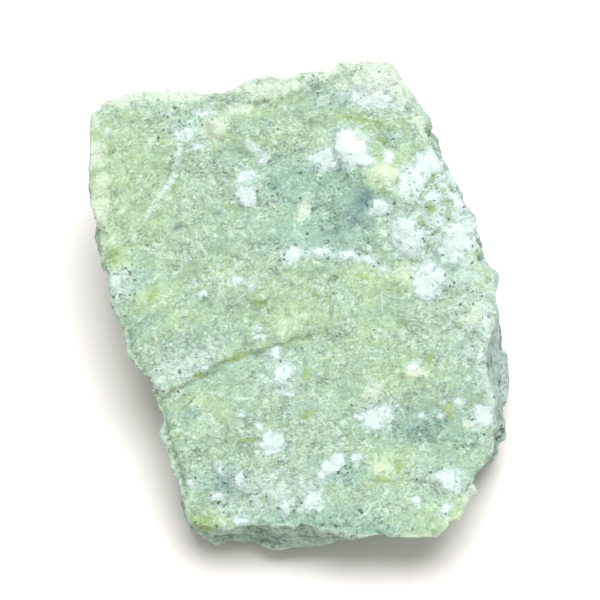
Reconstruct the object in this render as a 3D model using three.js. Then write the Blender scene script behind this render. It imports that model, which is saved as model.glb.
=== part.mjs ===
// Raw serpentine: one broken lump of pale green rock, lying on a flat fracture face.
//
// Millimetres, +Z up. The origin is the middle of the lump's box, on the surface it rests on.
// +X is to the right and +Y to the back. The top is one cleaved face that leans to the front,
// and the rock's layers run parallel to it.

import * as THREE from 'three';
import { ImprovedNoise } from 'three/addons/math/ImprovedNoise.js';
import { mergeVertices } from 'three/addons/utils/BufferGeometryUtils.js';

// Driving dimensions
const TOP_LEAN = THREE.MathUtils.degToRad(15.5); // lean of the cleaved face, down to the front
const TOP_HEIGHT = 16.3; // height of its middle above the resting face
const LAYER_THICKNESS = 1.5; // of the rock's layers, where they show on the flanks
const LAYER_LENGTH = 9; // how far one layer runs before it breaks off
const LAYER_DEPTH = 0.55; // how far the layers stand in and out
const LUMP_SIZE = 6.5; // of the coarser unevenness of the flanks
const LUMP_DEPTH = 0.8;

// Mesh density
const STEPS_PER_CORNER = 3;
const FACE_ROWS = 13;
const UPPER_FLANK_ROWS = 6;
const LOWER_FLANK_ROWS = 3;
const BASE_ROWS = 4;
const MERGE_TOLERANCE = 1e-4;

// The rim of the cleaved face, in that face's own plane, anticlockwise from the back left.
const RIM = [
  [-26.0, 24.0], [-26.3, 19.5], [-26.2, 15.0], [-25.0, 8.6], [-23.8, 4.4], [-23.3, 0.8],
  [-21.8, -2.4], [-20.8, -6.8], [-18.4, -10.6], [-16.9, -14.4], [-15.4, -20.2], [-14.0, -24.4],
  [-13.2, -28.6], [-8.8, -29.1], [-4.0, -28.9], [1.4, -28.5], [5.0, -29.2], [8.8, -30.2],
  [13.0, -30.2], [18.1, -30.4], [21.0, -28.0], [22.7, -24.4], [24.0, -21.8], [26.0, -19.9],
  [25.8, -17.0], [25.2, -12.4], [24.6, -7.4], [25.6, -3.6], [25.9, 2.8], [23.8, 4.7],
  [22.5, 10.4], [20.5, 15.8], [18.0, 20.8], [15.4, 25.2], [13.3, 29.4], [9.8, 31.0],
  [4.6, 29.6], [-4.6, 28.1], [-8.8, 26.7], [-14.6, 27.0], [-19.6, 27.5], [-23.8, 25.7],
];

// The break that runs round the flanks part way down: x, y and height over the resting face.
const BELLY = [
  [-25.2, 24.0, 12.5], [-24.2, 13.5, 8.0], [-21.6, 4.0, 9.0], [-19.2, -5.5, 6.0],
  [-15.4, -13.0, 6.5], [-14.2, -20.5, 4.4], [-13.2, -26.8, 3.6], [-10.8, -28.6, 3.0],
  [2.4, -28.3, 3.4], [9.0, -26.0, 4.2], [16.8, -25.0, 4.6], [21.0, -20.6, 5.4],
  [25.6, -16.8, 4.6], [27.3, -14.4, 4.8], [27.0, -9.6, 6.2], [27.8, -6.6, 5.2],
  [27.2, -1.5, 6.0], [26.6, 5.0, 5.0], [23.6, 9.8, 7.0], [20.8, 17.0, 9.5],
  [18.5, 25.0, 8.5], [15.6, 30.8, 9.5], [9.5, 32.0, 13.0], [-4.0, 28.6, 10.5],
  [-14.0, 28.4, 14.0], [-22.0, 27.2, 11.0],
];

// The resting face, at height 0.
const FOOT = [
  [-20.0, 20.0, 0], [-21.4, 12.0, 0], [-18.4, 1.0, 0], [-16.0, -9.0, 0], [-13.0, -14.0, 0],
  [-12.4, -21.0, 0], [-10.0, -25.4, 0], [3.5, -26.0, 0], [13.0, -22.5, 0], [18.0, -16.0, 0],
  [24.4, -12.5, 0], [24.4, -1.0, 0], [23.6, 7.5, 0], [18.0, 17.0, 0], [16.0, 25.0, 0],
  [8.0, 28.0, 0], [-3.0, 24.0, 0], [-12.0, 25.0, 0],
];

// Relief of the cleaved face, in its own plane: a bevel along the back edge, and broad swells
// and hollows.
const BEVEL = { start: 23.4, slope: 0.42, end: -8, fade: 4 };
const WAVE_LENGTH = 11;
const WAVE_HEIGHT = 0.4;
const SWELL_FALL = 2; // how quickly a swell sinks to nothing at its radius
const SWELLS = [
  { at: [10.6, 28.6], radius: 4.5, height: 1.1 },
  { at: [9.0, 24.0], radius: 2.6, height: -0.7 },
  { at: [5.4, 19.2], radius: 3.4, height: 0.5 },
  { at: [-6.6, 14.4], radius: 2.8, height: 0.35 },
  { at: [3.4, 12.0], radius: 7.0, height: -0.6 },
  { at: [16.4, 12.0], radius: 6.5, height: 0.7 },
  { at: [-19.5, 6.0], radius: 6.0, height: -0.5 },
  { at: [12.0, -16.0], radius: 8.0, height: -0.5 },
  { at: [-9.0, -22.0], radius: 6.0, height: 0.4 },
];

const NOISE = new ImprovedNoise();
const NOISE_GAIN = 1.6; // brings the noise to about -1 to 1
const PATTERNS = { waves: 3.1, layers: 5.3, lumps: 9.1 }; // shifts that keep the patterns apart
const LEAN_AXIS = new THREE.Vector3(1, 0, 0);

// Smooth unevenness whose bumps are `across` millimetres wide and `high` millimetres high.
function unevenness(point, across, high, shift) {
  const value = NOISE.noise(point.x / across + shift, point.y / across, point.z / high - shift);
  return NOISE_GAIN * value;
}

function relief(x, y) {
  const spot = new THREE.Vector3(x, y, 0);
  let height = WAVE_HEIGHT * unevenness(spot, WAVE_LENGTH, WAVE_LENGTH, PATTERNS.waves);
  for (const swell of SWELLS) {
    const distance = Math.hypot(x - swell.at[0], y - swell.at[1]) / swell.radius;
    height += swell.height * Math.exp(-SWELL_FALL * distance * distance);
  }
  const bevelShare = THREE.MathUtils.smoothstep(BEVEL.end - x, 0, BEVEL.fade);
  height -= BEVEL.slope * bevelShare * Math.max(0, y - BEVEL.start);
  return height;
}

// From the cleaved face's own plane to the lump's frame.
function fromFacePlane(x, y, height) {
  const point = new THREE.Vector3(x, y, height).applyAxisAngle(LEAN_AXIS, TOP_LEAN);
  point.z += TOP_HEIGHT;
  return point;
}

// And how far a point of the lump lies from that plane.
function heightOverFacePlane(point) {
  return (point.z - TOP_HEIGHT) * Math.cos(TOP_LEAN) - point.y * Math.sin(TOP_LEAN);
}

// The rim as a smooth closed curve. The belly and the foot are straight from corner to corner.
const RIM_ROUNDNESS = 0.35;
const RIM_CORNERS = RIM.map(([x, y]) => new THREE.Vector3(x, y, 0));
const RIM_CURVE = new THREE.CatmullRomCurve3(RIM_CORNERS, true, 'catmullrom', RIM_ROUNDNESS);

// Where the ray from the middle towards `target` crosses a closed line of corners.
function cornerLinePoint(corners, target) {
  for (let index = 0; index < corners.length; index += 1) {
    const start = new THREE.Vector3(...corners[index]);
    const side = new THREE.Vector3(...corners[(index + 1) % corners.length]).sub(start);
    const turn = target.x * side.y - target.y * side.x;
    const reach = (start.x * side.y - start.y * side.x) / turn;
    const along = (start.x * target.y - start.y * target.x) / turn;
    if (reach > 0 && along >= 0 && along <= 1) {
      return start.addScaledVector(side, along);
    }
  }
  throw new Error('the corners do not go right round the middle');
}

// The cleaved face: `out` runs from 0 at its middle to 1 at the rim.
function facePoint(around, out) {
  const { x, y } = RIM_CURVE.getPoint(around).multiplyScalar(out);
  return fromFacePlane(x, y, relief(x, y));
}

// A flank point with its roughness, which is nothing at the rim (share 0) and full further down.
function roughened(point, share) {
  const outward = new THREE.Vector3(point.x, point.y, 0).normalize();
  const inLayers = new THREE.Vector3(point.x, point.y, heightOverFacePlane(point));
  const layers = unevenness(inLayers, LAYER_LENGTH, LAYER_THICKNESS, PATTERNS.layers);
  const lumps = unevenness(point, LUMP_SIZE, LUMP_SIZE, PATTERNS.lumps);
  return point.addScaledVector(outward, share * (LAYER_DEPTH * layers + LUMP_DEPTH * lumps));
}

// The flank, from the rim (0) to the belly (1), and from the belly (0) to the foot (1).
function upperFlankPoint(around, down) {
  const rim = facePoint(around, 1);
  const belly = cornerLinePoint(BELLY, rim);
  return roughened(rim.lerp(belly, down), down);
}

function lowerFlankPoint(around, down) {
  const rim = facePoint(around, 1);
  const belly = cornerLinePoint(BELLY, rim);
  const foot = cornerLinePoint(FOOT, rim);
  return roughened(belly.lerp(foot, down), 1);
}

// The resting face: `inward` runs from 0 at the foot to 1 at its middle.
function basePoint(around, inward) {
  return lowerFlankPoint(around, 1).multiplyScalar(1 - inward);
}

// The zones of the surface, from the middle of the cleaved face to the middle of the resting one.
const ZONES = [
  { rows: FACE_ROWS, place: facePoint },
  { rows: UPPER_FLANK_ROWS, place: upperFlankPoint },
  { rows: LOWER_FLANK_ROWS, place: lowerFlankPoint },
  { rows: BASE_ROWS, place: basePoint },
];

function stonePoint(around, row) {
  let rowInZone = row;
  for (const zone of ZONES) {
    if (rowInZone <= zone.rows) {
      return zone.place(around, rowInZone / zone.rows);
    }
    rowInZone -= zone.rows;
  }
  throw new Error('no such row');
}

// A ball whose rows of latitude are moved to the rows of those zones.
function stoneGeometry() {
  const rows = ZONES.reduce((total, zone) => total + zone.rows, 0);
  const ball = new THREE.SphereGeometry(1, RIM.length * STEPS_PER_CORNER, rows);
  const { position, uv } = ball.attributes;
  for (let index = 0; index < position.count; index += 1) {
    const row = Math.round((1 - uv.getY(index)) * rows);
    const point = stonePoint(uv.getX(index) % 1, row);
    position.setXYZ(index, point.x, point.y, point.z);
  }
  ball.deleteAttribute('normal');
  ball.deleteAttribute('uv');
  const stone = mergeVertices(ball, MERGE_TOLERANCE);
  stone.computeBoundingBox();
  const middle = stone.boundingBox.getCenter(new THREE.Vector3());
  stone.translate(-middle.x, -middle.y, -stone.boundingBox.min.z);
  stone.computeVertexNormals();
  return stone;
}

const serpentine = new THREE.MeshStandardMaterial({
  color: 0xbad7b4, roughness: 0.72, metalness: 0, flatShading: true,
});

const stone = new THREE.Mesh(stoneGeometry(), serpentine);
stone.name = 'serpentine_stone';

const rawSerpentine = new THREE.Group();
rawSerpentine.add(stone);

export default rawSerpentine;
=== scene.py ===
"""Raw serpentine: the stone's broken surface, the rock's colours and a plain white stage.

Metres, +Z up: the stone rests on z = 0, its cleaved face leans down to the front (-Y) and its
thick end is at the back. Sizes on the surface are in millimetres.
"""

import math

import bmesh
import bpy
import numpy as np
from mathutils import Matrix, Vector, noise


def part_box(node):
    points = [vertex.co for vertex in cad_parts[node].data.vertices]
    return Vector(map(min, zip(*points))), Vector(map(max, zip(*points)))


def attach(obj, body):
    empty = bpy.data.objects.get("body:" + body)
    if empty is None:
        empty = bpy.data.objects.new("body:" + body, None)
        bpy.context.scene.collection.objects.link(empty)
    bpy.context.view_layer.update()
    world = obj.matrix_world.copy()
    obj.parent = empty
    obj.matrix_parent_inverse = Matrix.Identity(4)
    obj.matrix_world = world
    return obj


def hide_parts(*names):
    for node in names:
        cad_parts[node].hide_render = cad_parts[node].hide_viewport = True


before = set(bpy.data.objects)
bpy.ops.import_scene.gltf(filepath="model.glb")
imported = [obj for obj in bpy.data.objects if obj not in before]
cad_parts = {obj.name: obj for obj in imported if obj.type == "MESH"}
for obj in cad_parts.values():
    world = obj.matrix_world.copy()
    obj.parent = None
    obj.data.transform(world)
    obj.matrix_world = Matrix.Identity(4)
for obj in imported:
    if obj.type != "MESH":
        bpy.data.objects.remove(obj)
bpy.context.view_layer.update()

bl_info = {
    "name": "Raw Serpentine",
    "version": (1, 0, 0),
    "blender": (4, 5, 0),
    "location": "View3D > Sidebar > Serpentine",
    "description": "Makes a broken lump of raw serpentine and a white stage for it",
    "category": "Add Mesh",
}

NODE = "serpentine_stone"
PIECE = "raw_serpentine"
MM = 0.001
LOW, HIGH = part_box(NODE)

# The cleaved face: its middle, and its lean down to the front.
FACE_MIDDLE = (-1.0, -1.5, 16.3)
FACE_LEAN = math.radians(15.5)

# Patches grown into the cleaved face. Each is x and y in the face's own plane, its half length
# and half width, its turn in degrees and its strength.
CHALK = (
    (-13.6, 21.2, 1.3, 0.8, 15, 0.9), (-12.4, 19.4, 1.1, 0.5, 20, 0.7),
    (-11, 24, 1.3, 0.8, 10, 0.7), (-15.8, 23.7, 1, 0.5, 0, 0.6), (-5.7, 15.7, 1.2, 1, 20, 0.9),
    (-5.8, 13.2, 1.6, 1.1, -45, 1), (-3.6, 17.6, 1, 0.7, -40, 0.7), (4.4, 18.1, 2, 1.6, 20, 0.9),
    (7.4, 19.3, 2.5, 2.1, -50, 0.98), (9.1, 17.6, 1.3, 1, 0, 0.95), (9.9, 25.8, 2.8, 1.2, -10, 1),
    (12.2, 18.2, 0.7, 0.9, 30, 0.95), (17.6, 17.1, 1.8, 1.5, -10, 1.15), (15.4, 15, 2, 1.5, 25, 1),
    (19.4, 15.2, 1.8, 1.4, 0, 1), (21, 12.8, 2, 0.8, -65, 0.9), (17.3, 12.9, 2, 0.8, 10, 0.75),
    (14.6, 7.7, 1.5, 2, 20, 1.3), (20.5, 7.2, 1.9, 1.7, 25, 1.25), (18.4, 9.9, 1.4, 0.8, 30, 0.7),
    (22.8, 8.6, 0.7, 1.7, 20, 0.8), (17.3, 2, 1.6, 1.9, 8, 1.25), (20.4, 4.7, 0.9, 0.7, 0, 0.6),
    (11.1, 11.6, 1.4, 0.9, 10, 0.9), (0, 5.5, 1, 1.1, 20, 1), (3.4, 5.9, 2, 0.6, 6, 0.75),
    (7, 5.6, 1.9, 0.7, -4, 0.8), (9.8, 4.9, 1.4, 0.5, -25, 0.75), (11.6, 3.9, 0.8, 0.6, 0, 0.8),
    (-7, 2.1, 0.9, 0.6, 10, 0.9), (-5, 1.5, 0.7, 0.5, 0, 0.8), (-11.3, 0.6, 0.8, 0.5, 0, 0.7),
    (-4.1, -4.9, 0.9, 0.4, 10, 0.8), (-4.3, -3.8, 0.7, 0.5, 0, 0.7), (-2.1, -7, 0.9, 0.9, 0, 0.8),
    (-1.2, -9.7, 1.2, 1.3, 0, 0.95), (-0.3, -12.4, 1.1, 0.4, -10, 0.8),
    (-6.3, -14.9, 0.7, 0.6, 0, 0.7), (-2.5, -18.6, 1.2, 1.1, 0, 1.4),
    (-4.1, -16.4, 0.7, 0.5, -45, 0.8), (5.2, -21.2, 1.4, 0.85, 40, 1.3),
    (3.6, -22.7, 1, 0.6, 45, 0.8), (8, -20.3, 0.8, 0.5, 0, 1), (-6.7, -23, 0.7, 1.1, 0, 0.9),
    (-9.4, -25.3, 1, 0.5, 0, 1), (-9, -21.7, 0.6, 0.8, 20, 0.7), (-12.8, -23.7, 0.6, 0.5, 0, 0.9),
    (2.6, -25.7, 1.6, 1, 50, 0.85), (-0.8, -26.6, 0.6, 1.3, 0, 0.8), (-6.3, -28.2, 1, 0.7, 0, 0.8),
    (-11, -9, 0.8, 0.4, 0, 0.8), (10.8, -15.3, 1.8, 1.3, 25, 1), (12.4, -15.1, 0.7, 0.4, 20, 0.8),
    (8.5, -15.2, 0.6, 0.4, -30, 0.9), (21.3, -13.3, 0.8, 0.6, 0, 0.8),
    (18.8, -15, 0.6, 0.5, 60, 0.8), (16.4, -15, 0.5, 0.5, 0, 0.7),
    (24.2, -14.7, 1.5, 1.3, 40, 0.95), (26.7, -16.7, 0.6, 1.8, 0, 1.1),
    (19.8, -23.2, 1.8, 1.1, -25, 0.85), (15.8, -25.7, 0.7, 0.6, 0, 0.8),
    (19.3, -26.8, 1.1, 0.8, 45, 0.8), (24.6, -3.1, 0.6, 1.5, 10, 0.9),
    (23.6, -7.5, 0.8, 0.7, 0, 0.7), (15.2, -8.8, 0.9, 0.6, 0, 0.9), (-22.1, 1.8, 1, 1.6, 10, 0.8),
    (-23.7, 21.5, 0.5, 0.8, 0, 0.6),
)
# Cream lumps. The rows that run along the top, left and front edges are painted highlights on the
# rounded rim.
CREAM_AND_RIM_LIGHT = (
    (11.6, 15.9, 2.3, 1.8, 10, 0.95), (7.9, 20.2, 1.9, 1.5, -40, 1),
    (11.6, 28.2, 3.6, 2.1, -20, 1.15), (7.8, 27.7, 2.4, 1, 5, 0.9), (13.3, 25.6, 1.3, 2.2, 20, 0.8),
    (5.4, 29.4, 4.4, 1, 14, 0.85), (-0.8, 28.8, 4.4, 0.9, 12, 0.85), (-6.4, 27, 2.6, 0.9, 10, 0.8),
    (-9.9, 21.9, 1.5, 1.4, 20, 1.1), (1.6, 11.3, 0.9, 1.7, -20, 0.85),
    (10.3, -11.9, 1.8, 1.5, 10, 0.8), (11.2, -21.6, 2.2, 1.6, 0, 0.72),
    (23, -2.4, 1.8, 1.1, 30, 0.9), (20.4, -28.4, 2.2, 1, 50, 0.95),
    (22.4, -25.2, 0.8, 1.8, -28, 0.9), (16, -30.2, 4.4, 0.8, 3, 0.95),
    (14.4, 3, 1.7, 1.3, 20, 0.85), (15.6, -9.6, 1.4, 1, 0, 0.9), (-24.7, 18.8, 1.2, 2, 5, 0.95),
    (-24.1, 15.1, 1.4, 1.5, 0, 0.8), (-24.2, 11.9, 1.3, 2, -8, 0.95), (-25, 22.6, 0.9, 1.3, 0, 0.7),
    (-22.8, 7.5, 0.8, 1.3, 0, 0.6), (-21.6, 11.4, 1.3, 0.5, 42, 0.75),
    (-21.4, 26.3, 3, 1.2, 10, 1.05), (-15, 26.5, 4.8, 1, 0, 1), (-10.9, 23.9, 1.6, 0.7, 0, 0.85),
    (-6.8, 24.3, 2.4, 0.9, 5, 0.8), (-2.6, 26.9, 4.2, 1, 10, 0.95), (-4.2, 10.9, 1.2, 0.5, 0, 0.6),
    (-0.3, -3.1, 3.2, 1.9, 20, 0.6), (-17.4, -4.8, 1, 2.4, 20, 0.55),
    (16.3, 22.4, 0.7, 4.6, 22, 0.7), (22.4, -16, 1.2, 0.9, 0, 0.8), (26.2, -19.2, 1.1, 1.3, 0, 0.8),
    (24.3, -22.2, 0.8, 1.8, -40, 0.85), (-8.6, -28.2, 3.6, 0.6, -5, 0.65),
    (3.2, -30.2, 5, 0.5, 5, 0.8), (11.6, 8.4, 1, 0.9, 0, 0.7), (14.6, 12.6, 0.9, 0.6, 30, 0.7),
)
CLOUD = (
    (3.8, 13.8, 6.6, 3.6, -12, 0.9), (7.4, 11.4, 4.2, 3.4, -10, 1), (3.4, 8.6, 5.4, 2.4, 5, 1),
    (-19.8, 2.4, 3.4, 2.6, 10, 0.6), (-3, 9.4, 2.2, 1.4, 0, 0.5), (-0.6, 17.2, 2.6, 2, 0, 0.45),
    (16.7, -16.4, 3.2, 2.4, 0, 0.95), (12.6, -17.4, 2.2, 1.6, 0, 0.6),
    (7.6, -22.6, 2.8, 1.8, 0, 0.75), (-8.3, -23.6, 3.2, 2.4, 0, 0.75), (18.2, 4.6, 2.6, 3, 30, 0.6),
    (16.9, 11.8, 2.4, 2.8, 0, 0.55), (2, -29.6, 13, 2.6, 0, 0.75), (21.5, -17.6, 3, 2, 0, 0.55),
    (-13.6, 22.6, 2.4, 1.6, 0, 0.45), (-13.2, -14.7, 1.4, 1, 0, 0.7),
    (-6.8, -9.3, 1.6, 1.4, 0, 0.55), (12.6, 20.6, 2.6, 1.6, 0, 0.4), (4.4, 24.6, 2.4, 1.8, 0, 0.4),
    (-12.6, -9.2, 2.4, 1.2, 15, 0.5),
)
HEART = (
    (9.1, 12.6, 1.4, 1.5, 0, 1.1), (8, 10.1, 2.2, 1.8, 0, 0.8), (5.4, 8.8, 2.6, 1.2, 10, 0.6),
    (-14.5, 9.1, 0.55, 0.3, 25, 1.4), (18.4, 5.6, 0.5, 1.6, 20, 0.8),
    (14.5, 11.4, 0.5, 1.4, 0, 0.7), (20.4, 3.6, 0.4, 1.6, -50, 0.7),
    (15.4, -16.6, 3, 1.6, -20, 0.45), (-8, -24, 2.4, 1.8, 0, 0.7), (5.9, 16.6, 1.6, 0.6, 0, 0.7),
    (6.4, 20, 0.4, 0.4, 0, 0.9), (14.8, -14.2, 1.8, 0.4, -20, 0.6),
)
YELLOW = (
    (-21.8, 14.6, 5.2, 9, 0, 0.75), (-22.6, 6.2, 1.8, 2.6, 20, 0.9), (-17.4, 10.6, 4, 3.6, 0, 0.5),
    (11.2, 16.4, 2.8, 2.4, 20, 0.9), (9.4, 2.1, 2.4, 1.9, 10, 0.95), (14.4, 2.3, 2.2, 1.6, 20, 0.8),
    (0.2, -1.6, 4.4, 3.2, 10, 0.75), (11.6, -21.5, 2.6, 1.8, 10, 0.9),
    (-11.2, -28.6, 2.2, 1.6, 0, 0.9), (9.8, 23, 3.8, 1, -12, 0.8),
    (18.6, -28.2, 3.4, 1.6, 20, 0.85), (14, -9.6, 3.6, 2, 0, 0.6), (-12, -13.6, 4, 2.2, 10, 0.45),
    (-2, 24.2, 5, 2.2, 5, 0.35), (-10.4, 3.2, 5, 2.6, 8, 0.35), (14.4, 17.8, 1.6, 2.6, 30, 0.5),
    (9.6, -4.4, 5, 3.4, 20, 0.4), (-17.5, 0.3, 2.4, 1.2, 25, 0.9), (-14.4, -2.8, 3, 1.6, 20, 0.5),
    (-9.9, 21.6, 2, 2, 0, 0.7), (23, -2.4, 2.4, 2, 0, 0.6), (-0.6, 21.8, 3, 1.8, 0, 0.5),
    (24, 3.4, 1.2, 1.8, 0, 0.8), (20.8, -27.6, 1.4, 2.2, -30, 0.9),
)
OLIVE = (
    (-4.1, -0.7, 0.8, 0.5, 0, 0.9), (-5.4, -18.2, 1.6, 0.35, 8, 1), (2, -14.9, 0.8, 0.6, 20, 1),
    (1.7, -9.7, 0.5, 0.8, 0, 0.8), (-11.2, -28.9, 1.5, 1.1, 0, 0.9), (17.4, -7.6, 0.4, 0.8, 0, 0.9),
    (19.8, -14.4, 0.65, 0.85, -20, 1.15), (13.3, -21.3, 0.5, 1.1, 0, 0.8),
    (20.8, -26.8, 0.5, 1.2, -20, 0.6), (-20.6, 18, 1.5, 0.6, 0, 0.5),
    (-22.6, 5.4, 0.8, 1.1, 0, 0.9), (9, 23.1, 2.8, 0.35, -12, 0.9), (-6.9, -7.6, 1.8, 0.3, 25, 0.9),
    (-11.6, -9.8, 0.9, 0.3, 20, 0.8), (11.6, -23.2, 1.4, 0.4, -10, 0.8),
    (-14.8, 14.6, 0.7, 0.5, 0, 0.7), (11.4, 20.4, 0.8, 0.4, -30, 0.8),
    (17.6, 11.1, 0.6, 0.5, -30, 0.8), (20.9, 12.2, 0.4, 0.7, 20, 0.8),
    (19.1, 13.4, 0.4, 0.6, 0, 0.7), (22.2, 9.7, 0.35, 0.7, 20, 0.7), (16.3, 9.4, 0.5, 0.4, 0, 0.7),
    (19.6, 9.7, 0.4, 0.5, 0, 0.7), (21.7, 8, 0.3, 0.5, 0, 0.7), (-8, 11.8, 0.8, 0.4, 0, 0.6),
    (16.6, -11, 0.6, 0.4, 0, 0.7), (-17.6, 0.5, 1.6, 0.7, 30, 0.7), (9.2, 2.6, 1, 0.7, 0, 0.6),
)
FROST = (
    (18.6, 11.6, 4.4, 6.8, 0, 1.2), (27, -7, 3, 10.4, 0, 1.15), (19.8, -23.3, 3.1, 2.4, 0, 0.7),
    (-3.3, -24.9, 7.2, 2.8, 0, 0.8), (-12.6, 21.4, 3.4, 2.7, 0, 0.6),
    (10.4, 26.8, 4.6, 3, -10, 0.75), (-5.6, 13.9, 2.4, 2.4, 0, 0.6),
    (-1.1, -9.3, 2.4, 2.7, 0, 0.75), (-13.6, -8.6, 5.4, 2.2, 20, 0.7),
    (10.9, -15.2, 2.8, 1.9, 0, 0.7), (24.6, -14.7, 2.2, 2.3, 0, 0.7), (5.1, 5.7, 7.2, 1.2, 0, 0.7),
    (-21.5, 2.4, 1.6, 2.3, 0, 0.8), (22.6, -3.4, 2.8, 4.6, 0, 0.8), (22.4, 3.4, 3, 2.6, 0, 0.8),
    (-1.1, 27.6, 5.4, 0.8, 8, 0.6), (-16.5, 25.6, 7, 1.6, 0, 0.6), (15.9, 24.6, 0.6, 5.2, 22, 0.6),
    (-3.6, -17, 2.4, 1.6, -40, 0.5), (-9, 5, 5, 1, 6, 0.4), (4.2, 25.6, 1.8, 1.4, 0, 0.6),
    (20.4, -13.8, 3, 1.4, 0, 0.6),
)
# Healed white veins across the face: each one's strength, and its points.
VEINS = (
    (0.98, ((-14.2, 19.4), (-14.9, 16.8), (-15.5, 15))), (0.92, ((-15.5, 15), (-16.8, 13.2))),
    (0.84, ((-16.8, 13.2), (-17.8, 11.6), (-18.6, 10.2))),
    (0.75, ((-18.6, 10.2), (-19.9, 7.6), (-20.8, 5))),
    (0.7, ((-15, 14.2), (-13.8, 14.7), (-11.8, 15.3), (-9.4, 15))),
    (0.65, ((-20.2, 13.1), (-21.4, 12.2), (-23, 10.1))),
    (1.15, ((-5.7, 20), (-4.9, 19.4), (-4.1, 18.6), (-3.4, 18))),
    (0.8, ((-8.2, 22.4), (-7, 21), (-5.9, 20.2))),
)
VEIN_HALF = 1.5
# Lumps that swell out of the face: as the patches, with a height in millimetres at the end.
LUMPS = (
    (11.4, 28, 3.6, 2.1, -16, 0.5), (-9.9, 22, 1.7, 1.4, 20, 0.4), (7.5, 19.6, 2.4, 2.2, -45, 0.4),
    (17.4, 16.2, 2.6, 1.6, 30, 0.3), (14.7, 7.8, 1.9, 2.2, 20, 0.3), (20, 7.5, 2.2, 2, 35, 0.3),
    (11.2, 16.4, 2.2, 1.6, 10, 0.25), (1.6, 11.3, 1.2, 2, -20, 0.2),
    (-5.8, 13.4, 1.9, 1.4, -45, 0.3), (17.4, 1.8, 1.7, 2.3, 8, 0.25), (9.4, 2.1, 2.6, 2, 10, 0.25),
    (10.8, -21.6, 2.2, 1.6, 0, 0.3), (19.8, -23.2, 2.3, 1.6, -25, 0.3),
    (15.6, -9.3, 1.8, 1.2, 0, 0.3), (23, -2.4, 2, 1.6, 30, 0.35), (-1.2, -9.6, 1.6, 1.7, 0, 0.25),
    (10.5, -11.4, 1.9, 1.5, 10, 0.25), (-12, -9, 3.4, 1.4, 20, 0.3), (-19.4, 18.4, 3, 2.4, 0, 0.3),
    (-18.4, 24.4, 3.6, 1.6, 0, 0.3), (4, 25, 3.4, 1.8, 10, 0.25),
)
# Small ledges where one layer of the face ends: how far each falls, and its points.
LEDGES = (
    (0.42, ((-18.6, -13.4), (-13.2, -10.6), (-10.5, -8.8), (-6.5, -7.2), (-2, -5.7), (2.9, -4.3),
            (7.4, -3.2))),
    (0.22, ((-2.6, 5.6), (1.6, 5), (5.2, 5.2), (9, 4.2), (13.2, 3.4))),
    (0.20, ((-7, 17.6), (-4.6, 15.4), (-3.6, 12.2), (-2.6, 9.4))),
)
# Crests where the face drops to a narrow bevel: the points, the side that drops, the slope.
BEVELS = (
    (((13.2, 30.6), (14.6, 27.4), (16.3, 23.2), (17.8, 19.4), (19, 16), (20.6, 11)), 1, 1.1),
    (((-20.6, -2.4), (-18.6, -8.4), (-15.7, -13.8), (-14.5, -18.8), (-13, -23),
      (-12.2, -29)), -1, 0.6),
)
BEVEL_WIDTH = 1.3
# Where the flanks end under the face, in its plane and as seen from the front. The left and right
# ones are y and x, and the front one is x and y.
LEFT_FOOT = (
    (-26.5, -12.1), (-22.8, -13.1), (-20.4, -13.7), (-16.7, -14.6), (-11.8, -17), (-6.9, -18.8),
    (-3.2, -19.7),
)
RIGHT_FOOT = (
    (-20.5, 25.8), (-18, 27), (-14, 27.4), (-10, 27.7), (-6, 27.3), (-2.5, 26.5), (1, 25.6),
    (4, 24.6),
)
FRONT_FOOT = (
    (1, -32.6), (4, -32.2), (7.5, -31), (9.5, -30.2), (11, -29.7), (13, -29.6), (18, -29.8),
    (21, -27.6),
)
# From the front a point shows this share of its depth lower. The flanks draw in to their feet by
# these shares, and the lip over the front one stands out so far.
SEEN_LOWER = 0.167
DRAWN_SIDE = 0.8
DRAWN_FRONT = 0.85
FRONT_LIP = 0.6

# Fracture chips: size, tilt and step as factors, the blend between two, and a shift that keeps
# one pattern apart from the others.
FACE_CHIPS = ((4.2, 1.0, 0.5, 0.10, 11.0), (1.7, 1.4, 0.35, 0.16, 29.0))
FLANK_CHIPS = ((8.0, 2.0, 3.0, 0.06, 19.0), (3.6, 1.6, 0.8, 0.10, 43.0))
# Layers of the flanks that broke like shingles: thickness, depth and shift.
SHINGLES = ((2.6, 0.6, 3.0), (1.0, 0.14, 8.0))
# How the bumps of fractal noise fall off, and how much finer each octave is.
FALL_OFF = 0.8
FINER = 2.1

# What the mesh tells the material, point by point.
MASKS = (
    "chalk", "cream", "frost", "cloud", "heart", "yellow", "olive", "vein", "crack_and_shade", "flank",
    "front_painted_light", "relief", "rim",
)
# Grains: size, shift and weight. Dashes: turn in degrees, shift and strength. Flecks: size, shift.
GRAINS = ((0.40, 0.0, 1.0), (0.68, 23.0, 1.3), (1.15, 57.0, 0.8))
DASHES = ((35.0, 151.0, 0.75), (-58.0, 157.0, 0.6))
FLECKS = ((1.0, 3.0), (2.0, 47.0))

# Where the soft lamp stands, and the sky's colour and its strength along the horizon.
LAMP_PLACE = (0.08, 0.29, 1.0)
SKY = (1.0, 0.96, 0.94, 1.0)
HORIZON_STRENGTH = 1.2


# ---- places on the stone, as arrays of millimetres ----


def smooth_step(values, low, high):
    """0 below low, 1 above high, and a smooth rise between them."""
    share = np.clip((values - low) / (high - low), 0.0, 1.0)
    return share * share * (3.0 - 2.0 * share)


def band(values, start, full, fading, end):
    """0 before the start, 1 from full to fading and 0 after the end, with smooth slopes."""
    return smooth_step(values, start, full) * smooth_step(-values, -end, -fading)


def face_places(points):
    """The points as x, y and height in the cleaved face's own plane."""
    x, y, z = (points - np.array(FACE_MIDDLE)).T
    along = y * math.cos(FACE_LEAN) + z * math.sin(FACE_LEAN)
    height = z * math.cos(FACE_LEAN) - y * math.sin(FACE_LEAN)
    return np.stack([x, along, height], axis=1)


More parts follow.
